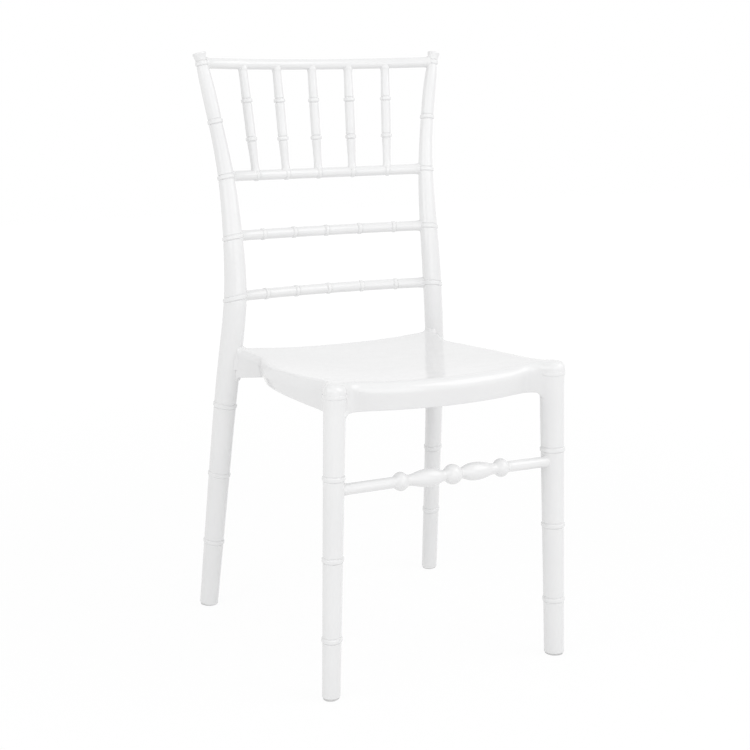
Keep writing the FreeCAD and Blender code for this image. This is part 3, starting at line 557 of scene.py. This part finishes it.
seat = dict(
    front=(0.0, -240.0), quarter=(85.0, -231.0), shoulder=(150.0, -212.0), corner=(183.0, -208.0),
    flankY=(-208.0, -180.0, -150.0, -110.0, -60.0, -10.0, 35.0, 60.0, 76.0, 92.0, 112.0, 146.0),
    flankX=(183.0, 187.0, 190.2, 193.4, 195.0, 192.8, 184.6, 176.2, 171.8, 172.8, 177.2, 184.8),
    tip=(188.6, 163.7), tipRound=12.0, inner=(171.0, 160.8), back=(0.0, 147.0), middle=(0.0, -45.0),
    cornerMargin=0.8, cornerRound=24.0, soften=2.0, around=760,
    points=dict(front=300, corner=120, flank=800, oval=1600, join=40, tip=60, back=300),
    roundRows=13, apronRows=8, apronStart=0.12, wallRows=5, wallStart=0.2, innerRoundShare=0.6,
    sideY=(-240.0, -222.0, -190.0, -148.0, -110.0, -59.0, -10.0, 20.0, 76.0, 165.0),
    sideZ=(465.0, 465.4, 463.6, 459.2, 455.6, 452.0, 449.2, 448.2, 448.2, 452.4),
    middleY=(-240.0, -200.0, -140.0, -45.0, 60.0, 147.0),
    middleZ=(459.5, 455.6, 450.2, 446.0, 444.2, 445.2),
    sideWidth=185.0, dishPower=2.5, bottom=417.5, bottomY=(-60.0, 20.0, 74.0, 106.0, 133.0, 165.0),
    bottomZ=(417.5, 417.2, 415.0, 409.7, 405.0, 400.5), armFrom=120.0, armFade=40.0,
    draft=5.0, draftReach=20.0, legMargin=1.6, legReach=6.0, wall=4.0, underRound=10.0, underDrop=1.5,
    lowerEdge=((0.0, 1.5), (0.25, 0.6), (0.75, 0.15), (1.4, 0.0)),
    innerEdge=((1.0, 0.0), (0.2, 0.4), (0.0, 1.2)),
    edgeRound=16.0, armRound=10.0, armRoundFrom=5.0, armRoundFade=70.0, cornerLess=5.5, cornerReach=28.0,
    frontOval=(18.4, 15.6), rearOval=(19.0, 15.3), underFillet=10.0, armFillet=6.0,
    topFillet=9.0, topFilletHeight=446.0, topFilletPast=2.0, topFilletFade=12.0,
    panStep=6.0, panGap=0.55,
    ribThickness=3.0, ribPitch=85.0, ribBottom=425.0, ribGap=1.5, ribOverlap=1.0, ribAround=1200,
    ribStations=60,
    armBlock=(48.0, 22.0, 28.0), armBlockEnd=8.0)


def arcThrough(first, second, third, count):
    # count points of the circle through three points, from the first up to but not including the third
    (ax, ay), (bx, by), (cx, cy) = first, second, third
    d = 2 * (ax * (by - cy) + bx * (cy - ay) + cx * (ay - by))
    a, b, c = ax ** 2 + ay ** 2, bx ** 2 + by ** 2, cx ** 2 + cy ** 2
    ux = (a * (by - cy) + b * (cy - ay) + c * (ay - by)) / d
    uy = (a * (cx - bx) + b * (ax - cx) + c * (bx - ax)) / d
    start = math.atan2(ay - uy, ax - ux)
    sweep = (math.atan2(cy - uy, cx - ux) - start + math.pi) % (2 * math.pi) - math.pi
    turn = start + sweep * np.arange(count) / count
    radius = math.hypot(ax - ux, ay - uy)
    return np.stack([ux + radius * np.cos(turn), uy + radius * np.sin(turn)], axis=-1)


def straight(first, second, count):
    # count points of the line from the first point up to but not including the second
    share = np.arange(count)[:, None] / count
    return np.array(first) + (np.array(second) - np.array(first)) * share


def arcAround(centre, first, last, count):
    # the shorter arc round a centre from the first point to the last, both included
    start, end = first - centre, last - centre
    angle = math.atan2(start[1], start[0])
    sweep = (math.atan2(end[1], end[0]) - angle + math.pi) % (2 * math.pi) - math.pi
    turn = angle + sweep * np.linspace(0, 1, count)
    return centre + np.hypot(*start) * np.stack([np.cos(turn), np.sin(turn)], axis=-1)


def hollowJoin(line, oval, away, radius):
    # concave round between a line and an oval: the point of the oval whose circle of that radius,
    # laid on the oval's outside, just touches the line; returns both indices and the circle's middle
    middles = oval + away * radius
    gaps = np.linalg.norm(middles[:, None, :] - line[None, :, :], axis=-1)
    nearest = gaps.min(axis=1)
    touching = np.nonzero((nearest[:-1] - radius) * (nearest[1:] - radius) <= 0)[0]
    return [(index, gaps[index].argmin(), middles[index]) for index in touching]


def evenLine(points, count):
    # closed line resampled at even spacing
    loop = np.concatenate([points, points[:1]])
    place = np.concatenate([[0], np.cumsum(np.linalg.norm(np.diff(loop, axis=0), axis=1))])
    at = np.linspace(0, place[-1], count, endpoint=False)
    return np.stack([np.interp(at, place, loop[:, 0]), np.interp(at, place, loop[:, 1])], axis=-1)


def softened(points, strength):
    # closed, evenly spaced line smoothed along its length by a Gaussian of the given spread
    length = np.linalg.norm(np.roll(points, -1, axis=0) - points, axis=1).sum()
    frequency = np.fft.fftfreq(len(points), d=length / len(points))
    damp = np.exp(-2 * (math.pi * frequency * strength) ** 2)
    return np.real(np.fft.ifft(np.fft.fft(points, axis=0) * damp[:, None], axis=0))


def seatOutline(spec, count):
    # half the outline from the middle of the front, round the leg's oval, along the waisted flank and round
    # the arm's tip to the middle of the back, then its mirror image
    points = spec["points"]
    front = np.concatenate([arcThrough(spec["front"], spec["quarter"], spec["shoulder"], points["front"]),
                            straight(spec["shoulder"], spec["corner"], points["corner"])])
    flankY = np.linspace(spec["flankY"][0], spec["flankY"][-1], points["flank"])
    flank = np.stack([smoothLine(spec["flankY"], spec["flankX"], flankY)[:, 0], flankY], axis=-1)
    angle = np.linspace(-math.pi, math.pi, points["oval"])
    centre = frontLegCentre(frontLeg, (spec["bottom"] + frontLeg["headRing"]) / 2)
    halfLong = frontLeg["headLong"] / 2 + spec["cornerMargin"]
    halfShort = frontLeg["headShort"] / 2 + spec["cornerMargin"]
    outward, sideways = np.array([1.0, -1.0]) / math.sqrt(2), np.array([1.0, 1.0]) / math.sqrt(2)
    oval = centre + np.outer(halfLong * np.cos(angle), outward) \
        + np.outer(halfShort * np.sin(angle), sideways)
    away = unit(np.outer(np.cos(angle) / halfLong, outward) + np.outer(np.sin(angle) / halfShort, sideways))
    leftStart, leftOn, leftMiddle = [join for join in hollowJoin(front, oval, away, spec["cornerRound"])
                                     if join[2][1] < front[join[1], 1]][0]
    rightStart, rightOn, rightMiddle = [join for join in hollowJoin(flank, oval, away, spec["cornerRound"])
                                        if join[2][0] > flank[join[1], 0]][-1]
    tip, inner = np.array(spec["tip"]), np.array(spec["inner"])
    toFlank, toBack = unit(flank[-1] - tip), unit(inner - tip)
    halfAngle = math.acos(toFlank @ toBack) / 2
    tipMiddle = tip + unit(toFlank + toBack) * spec["tipRound"] / math.sin(halfAngle)
    reach = spec["tipRound"] / math.tan(halfAngle)
    mirroredInner = (-spec["inner"][0], spec["inner"][1])
    back = arcThrough(spec["inner"], spec["back"], mirroredInner, 2 * points["back"])[1:points["back"] + 1]
    half = np.concatenate([
        front[:leftOn], arcAround(leftMiddle, front[leftOn], oval[leftStart], points["join"]),
        oval[leftStart + 1:rightStart],
        arcAround(rightMiddle, oval[rightStart], flank[rightOn], points["join"]), flank[rightOn + 1:],
        arcAround(tipMiddle, tip + toFlank * reach, tip + toBack * reach, points["tip"]), back])
    other = half[1:][::-1] * np.array([-1.0, 1.0])
    line = evenLine(np.concatenate([half, [spec["back"]], other]), 3 * count)
    return evenLine(softened(line, spec["soften"]), count)


def legDistance(spec, x, y, height):
    # distance, outside +, from the front and the rear leg's oval at a height, measured towards its middle
    front = frontLegCentre(frontLeg, height)
    rear = rearLegLine(rearLeg, np.array([height]))[0]
    gaps = []
    for centre, (long, short), tilt in ((front, spec["frontOval"], -1.0), (rear, spec["rearOval"], 1.0)):
        dx, dy = np.abs(x) - centre[0], y - centre[1]
        u = (dx + tilt * dy) / math.sqrt(2)
        v = (dx - tilt * dy) / math.sqrt(2)
        norm = np.sqrt((u / long) ** 2 + (v / short) ** 2)
        gaps.append(np.hypot(u, v) * (1 - 1 / np.maximum(norm, 1e-6)))
    return gaps


def heightAlong(spec, places, heights, y):
    # height of a smooth line of y, level beyond its ends
    return smoothLine(spec[places], spec[heights], np.clip(y, spec[places][0], spec[places][-1]))[:, 0]


def seatTop(spec, x, y):
    # rim line along the sides and dished line along the middle, mixed by |x / sideWidth|^dishPower, and a
    # fillet at the inner side of the posts
    side = heightAlong(spec, "sideY", "sideZ", y)
    middle = heightAlong(spec, "middleY", "middleZ", y)
    share = np.clip(np.abs(x) / spec["sideWidth"], 0, 1) ** spec["dishPower"]
    inner = np.clip((rearLeg["x"][2] + spec["topFilletPast"] - np.abs(x)) / spec["topFilletFade"], 0, 1)
    gap = legDistance(spec, x, y, spec["topFilletHeight"])[1]
    return middle + (side - middle) * share + fillet(gap, spec["topFillet"]) * inner


def apronBottom(spec, x, y):
    # level in front and along the sides, falling along the arms, with fillets at the legs
    frontGap, rearGap = legDistance(spec, x, y, spec["bottom"])
    fall = heightAlong(spec, "bottomY", "bottomZ", y)
    share = np.clip((np.abs(x) - spec["armFrom"]) / spec["armFade"], 0, 1)
    level = spec["bottom"] + (fall - spec["bottom"]) * share
    return level - fillet(frontGap, spec["underFillet"]) - fillet(rearGap, spec["armFillet"])


def panFaces(edge, step, leastGap):
    # points of a triangular lattice inside the edge line, but for those within leastGap steps of it, and
    # triangles that join them and the edge's points
    low, high = edge.min(axis=0), edge.max(axis=0)
    rise = 0.866 * step  # height of an even triangle
    row, column = np.meshgrid(np.arange(int((high[1] - low[1]) / rise) + 1),
                              np.arange(int((high[0] - low[0]) / step) + 2), indexing="ij")
    lattice = np.stack([low[0] + (column + 0.5 * (row % 2)) * step, low[1] + row * rise], axis=-1)
    lattice = lattice.reshape(-1, 2)
    start, end = edge[None], np.roll(edge, -1, axis=0)[None]
    x, y = lattice[:, :1], lattice[:, 1:]
    crosses = (start[..., 1] > y) != (end[..., 1] > y)
    drop = np.where(crosses, end[..., 1] - start[..., 1], 1.0)
    at = start[..., 0] + (y - start[..., 1]) * (end[..., 0] - start[..., 0]) / drop
    inside = (crosses & (x < at)).sum(axis=1) % 2 == 1
    clear = np.linalg.norm(lattice[:, None, :] - edge[None], axis=-1).min(axis=1) > leastGap * step
    lattice = lattice[inside & clear]
    places = np.concatenate([edge, lattice])
    loop = np.arange(len(edge))
    sides = np.stack([loop, np.roll(loop, -1)], axis=-1)
    made = delaunay_2d_cdt(places.tolist(), sides.tolist(), [], 1, 1e-6)
    source = np.array([origins[0] for origins in made[3]])
    faces = source[np.array(made[2])]
    first, second, third = (places[faces[:, corner]] for corner in range(3))
    turn = np.cross(second - first, third - first)
    return lattice, np.where((turn > 0)[:, None], faces, faces[:, ::-1])


def seatSkin(spec):
    # a profile of (inset, height) carried round the outline: rounded rim, drafted apron, its lower edge and
    # its inner wall, closed above and below by the pan and the pan's underside
    outline = seatOutline(spec, spec["around"])
    tangent = unit(np.roll(outline, -1, axis=0) - np.roll(outline, 1, axis=0))
    inward = np.stack([-tangent[:, 1], tangent[:, 0]], axis=-1)
    x, y = outline[:, 0], outline[:, 1]
    frontGap, rearGap = (np.clip(gap, 0, None) for gap in legDistance(spec, x, y, spec["bottom"]))
    rearward = np.clip((y - spec["armRoundFrom"]) / spec["armRoundFade"], 0, 1)
    radius = spec["edgeRound"] \
        + (spec["armRound"] - spec["edgeRound"]) * rearward ** 2 * (3 - 2 * rearward) \
        - spec["cornerLess"] * np.exp(-(frontGap / spec["cornerReach"]) ** 2)
    draft = spec["draft"] * (1 - np.exp(-(np.minimum(frontGap, rearGap) / spec["draftReach"]) ** 2)) \
        + spec["legMargin"] * np.exp(-(frontGap / spec["legReach"]) ** 2)

    def ring(inset, level, lift):
        # one row of the profile: the outline set inwards, at a level plus a lift
        flat = outline + inward * np.broadcast_to(inset, (len(outline),))[:, None]
        return np.concatenate([flat, (level(spec, flat[:, 0], flat[:, 1]) + lift)[:, None]], axis=-1)

    rows = [ring(radius * (1 - math.sin(angle)), seatTop, radius * (math.cos(angle) - 1))
            for angle in np.radians(np.linspace(0, 90, spec["roundRows"]))]
    edge, upper = rows[0], rows[-1]
    lower = ring(draft, apronBottom, spec["lowerEdge"][0][1])
    down = np.linspace(spec["apronStart"], 1, spec["apronRows"])
    rows += [upper + (lower - upper) * share for share in down]
    rows += [ring(draft + inset, apronBottom, lift) for inset, lift in spec["lowerEdge"][1:]]
    rows += [ring(draft + spec["wall"] - inset, apronBottom, lift) for inset, lift in spec["innerEdge"]]
    low = rows[-1]
    high = ring(spec["wall"], seatTop, -spec["underRound"])
    up = np.linspace(spec["wallStart"], 1, spec["wallRows"])
    rows += [low + (high - low) * share for share in up]
    rows.append(ring(radius * spec["innerRoundShare"], seatTop, -spec["wall"] - spec["underDrop"]))
    rows.append(ring(radius, seatTop, -spec["wall"]))
    rows = np.stack(rows)
    inner, faces = panFaces(edge[:, :2], spec["panStep"], spec["panGap"])
    above = np.concatenate([inner, seatTop(spec, inner[:, 0], inner[:, 1])[:, None]], axis=-1)
    below = above - np.array([0.0, 0.0, spec["wall"]])
    count, around = rows.shape[:2]
    verts = np.concatenate([rows.reshape(-1, 3), above, below])
    row, column = np.meshgrid(np.arange(count - 1), np.arange(around), indexing="ij")
    right = (column + 1) % around
    quads = np.stack([row * around + column, (row + 1) * around + column,
                      (row + 1) * around + right, row * around + right], axis=-1).reshape(-1, 4)
    isEdge = faces < around
    topFaces = np.where(isEdge, faces, faces + (count - 1) * around)
    underFaces = np.where(isEdge, faces + (count - 1) * around, faces + (count - 1) * around + len(inner))
    return verts * mm, [quads, topFaces, underFaces[:, ::-1]]


def ribSkins(spec):
    # thin walls under the pan: a box section carried from wall to wall, whose top follows the pan's
    # underside and the rounded rim
    outline = seatOutline(spec, spec["ribAround"])
    count = spec["ribStations"]
    skins = []
    for axis in (0, 1):
        for index in (-1, 0, 1):
            place = spec["middle"][axis] + index * spec["ribPitch"]
            other = 1 - axis
            side = outline[:, axis] - place
            crossing = np.nonzero(side * np.roll(side, -1) < 0)[0]
            ends = np.sort(outline[crossing, other])
            inset = spec["wall"] + spec["ribGap"]
            run = np.linspace(ends[0] + inset, ends[-1] - inset, count)
            flat = np.zeros((count, 4, 2))
            flat[..., other] = run[:, None]
            turn = np.array([-1, 1, 1, -1]) if axis == 0 else np.array([1, -1, -1, 1])
            flat[..., axis] = place + turn * spec["ribThickness"] / 2
            under = seatTop(spec, flat[..., 0].ravel(), flat[..., 1].ravel()).reshape(count, 4) \
                - spec["wall"] + spec["ribOverlap"] \
                - fillet(np.minimum(run - ends[0], ends[-1] - run), spec["edgeRound"])[:, None]
            level = np.where(np.array([False, False, True, True]), under, spec["ribBottom"])
            skins.append(closedSkin(np.concatenate([flat, level[..., None]], axis=-1) * mm))
    return skins


def armBlockSkin(spec):
    # solid block in the arm, on the diagonal into the rear leg, that holds the threaded insert
    length, width, height = spec["armBlock"]
    centre = rearLegLine(rearLeg, np.array([rearLeg["jointHeight"]]))[0, :2]
    ahead, aside = np.array([1.0, 1.0]) / math.sqrt(2), np.array([-1.0, 1.0]) / math.sqrt(2)
    run = np.linspace(-length, -spec["armBlockEnd"], 3)
    turn = np.array([-1, 1, 1, -1]) * width / 2
    flat = centre + run[:, None, None] * ahead + turn[None, :, None] * aside
    level = np.broadcast_to(rearLeg["jointHeight"] + np.array([-1, -1, 1, 1]) * height / 2, flat.shape[:2])
    return closedSkin(np.concatenate([flat, level[..., None]], axis=-1) * mm)


head = cornerHeadSkin(frontLeg)
block = armBlockSkin(seat)
seatSkins = [seatSkin(seat), head, mirroredSkin(head), block, mirroredSkin(block)] + ribSkins(seat)
makePiece("seatPan", seatSkins, ["seat"], shellFinish)
print("seat made")


finishes = dict(rear_glide_left=glideFinish, rear_glide_right=glideFinish, front_glide_left=glideFinish,
                front_glide_right=glideFinish, rear_leg_bolts=steelFinish, front_leg_screws=steelFinish,
                bolt_inserts=brassFinish)
for name, finish in finishes.items():
    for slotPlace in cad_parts[name].material_slots:
        slotPlace.material = finish
print("glides, bolts, inserts and screws finished")


studio = dict(
    floorSize=12.0, floorColor=0.86, floorRoughness=0.9, floorSheen=0.1,
    floorGlow=0.90, glowLevel=1.02, glowFrom=0.8, glowTo=3.0, worldFill=0.69,
    cameraAt=(-1.072, -2.133, 0.925), cameraTurn=(78.01, 0.0, -26.56), lens=74.08, sensor=36.0,
    aim=(0.0, 0.0, 0.5),
    softboxes=dict(keyLight=dict(at=(1.8, -1.6, 2.3), size=2.2, power=20.5),
                   sideLight=dict(at=(-2.3, -0.8, 1.7), size=1.8, power=12.0),
                   frontLight=dict(at=(-0.5, -3.2, 1.3), size=2.6, power=14.0),
                   topLight=dict(at=(0.0, 0.2, 2.8), size=2.4, power=2.0)))


def addMath(nodes, links, operation, first, second):
    # the result of one operation on two values
    node = nodes.new("ShaderNodeMath")
    node.operation = operation
    links.new(first, node.inputs[0])
    links.new(second, node.inputs[1])
    return node.outputs[0]


def raysSeen(nodes, links, kinds):
    # 1 for rays of any of these kinds, else 0
    path = nodes.new("ShaderNodeLightPath")
    seen = path.outputs[kinds[0]]
    for kind in kinds[1:]:
        seen = addMath(nodes, links, "MAXIMUM", seen, path.outputs[kind])
    return seen


def mixShaders(nodes, links, share, first, second, output):
    # the first shader at a share of 0 and the second at 1, into the output
    mix = nodes.new("ShaderNodeMixShader")
    links.new(share, mix.inputs[0])
    links.new(first.outputs[0], mix.inputs[1])
    links.new(second.outputs[0], mix.inputs[2])
    links.new(mix.outputs[0], nodes[output].inputs["Surface"])


def makeFloor(spec):
    # a flat square that takes the chair's shadow and glows where it is seen, in full far from the chair
    half = spec["floorSize"] / 2
    mesh = bpy.data.meshes.new("floor")
    corners = [(-half, -half, 0), (half, -half, 0), (half, half, 0), (-half, half, 0)]
    mesh.from_pydata(corners, [], [(0, 1, 2, 3)])
    floor = bpy.data.objects.new("floor", mesh)
    bpy.context.scene.collection.objects.link(floor)
    material = bpy.data.materials.new("paleFloor")
    material.use_nodes = True
    nodes, links = material.node_tree.nodes, material.node_tree.links
    shader = nodes["Principled BSDF"]
    shader.inputs["Base Color"].default_value = (spec["floorColor"],) * 3 + (1,)
    shader.inputs["Roughness"].default_value = spec["floorRoughness"]
    shader.inputs["Specular IOR Level"].default_value = spec["floorSheen"]
    glow = nodes.new("ShaderNodeEmission")
    glow.inputs["Strength"].default_value = spec["glowLevel"]
    place = nodes.new("ShaderNodeTexCoord")
    distance = nodes.new("ShaderNodeVectorMath")
    distance.operation = "LENGTH"
    links.new(place.outputs["Object"], distance.inputs[0])
    fade = nodes.new("ShaderNodeMapRange")
    fade.inputs["From Min"].default_value = spec["glowFrom"]
    fade.inputs["From Max"].default_value = spec["glowTo"]
    fade.inputs["To Min"].default_value = spec["floorGlow"]
    fade.inputs["To Max"].default_value = 1.0
    links.new(distance.outputs["Value"], fade.inputs["Value"])
    seen = raysSeen(nodes, links, ("Is Camera Ray", "Is Glossy Ray"))
    share = addMath(nodes, links, "MULTIPLY", seen, fade.outputs["Result"])
    mixShaders(nodes, links, share, shader, glow, "Material Output")
    mesh.materials.append(material)


def makeWorld(spec):
    # a pale room that lights the chair plainly and is seen, mirrored and seen through as plain white
    world = bpy.data.worlds.new("paleRoom")
    bpy.context.scene.world = world
    world.use_nodes = True
    nodes, links = world.node_tree.nodes, world.node_tree.links
    fill, backdrop = nodes["Background"], nodes.new("ShaderNodeBackground")
    for light, strength in ((fill, spec["worldFill"]), (backdrop, 1.0)):
        light.inputs["Color"].default_value = (1, 1, 1, 1)
        light.inputs["Strength"].default_value = strength
    seen = raysSeen(nodes, links, ("Is Camera Ray", "Is Glossy Ray", "Is Transmission Ray"))
    mixShaders(nodes, links, seen, fill, backdrop, "World Output")


def addSoftbox(name, spec, aim):
    # a square lamp turned towards the chair's middle
    lamp = bpy.data.lights.new(name, "AREA")
    lamp.shape = "SQUARE"
    lamp.size = spec["size"]
    lamp.energy = spec["power"]
    box = bpy.data.objects.new(name, lamp)
    box.location = spec["at"]
    box.rotation_euler = (Vector(aim) - Vector(spec["at"])).to_track_quat("-Z", "Y").to_euler()
    bpy.context.scene.collection.objects.link(box)


def makeCamera(spec):
    # the camera before the chair's right front corner, level with its top and turned a little down
    data = bpy.data.cameras.new("camera")
    data.lens = spec["lens"]
    data.sensor_width = spec["sensor"]
    data.sensor_fit = "HORIZONTAL"
    camera = bpy.data.objects.new("camera", data)
    camera.location = spec["cameraAt"]
    camera.rotation_euler = [math.radians(angle) for angle in spec["cameraTurn"]]
    bpy.context.scene.collection.objects.link(camera)
    bpy.context.scene.camera = camera


makeFloor(studio)
makeWorld(studio)
for name, box in studio["softboxes"].items():
    addSoftbox(name, box, studio["aim"])
makeCamera(studio)
bpy.context.scene.view_settings.view_transform = "Standard"
print("studio made")
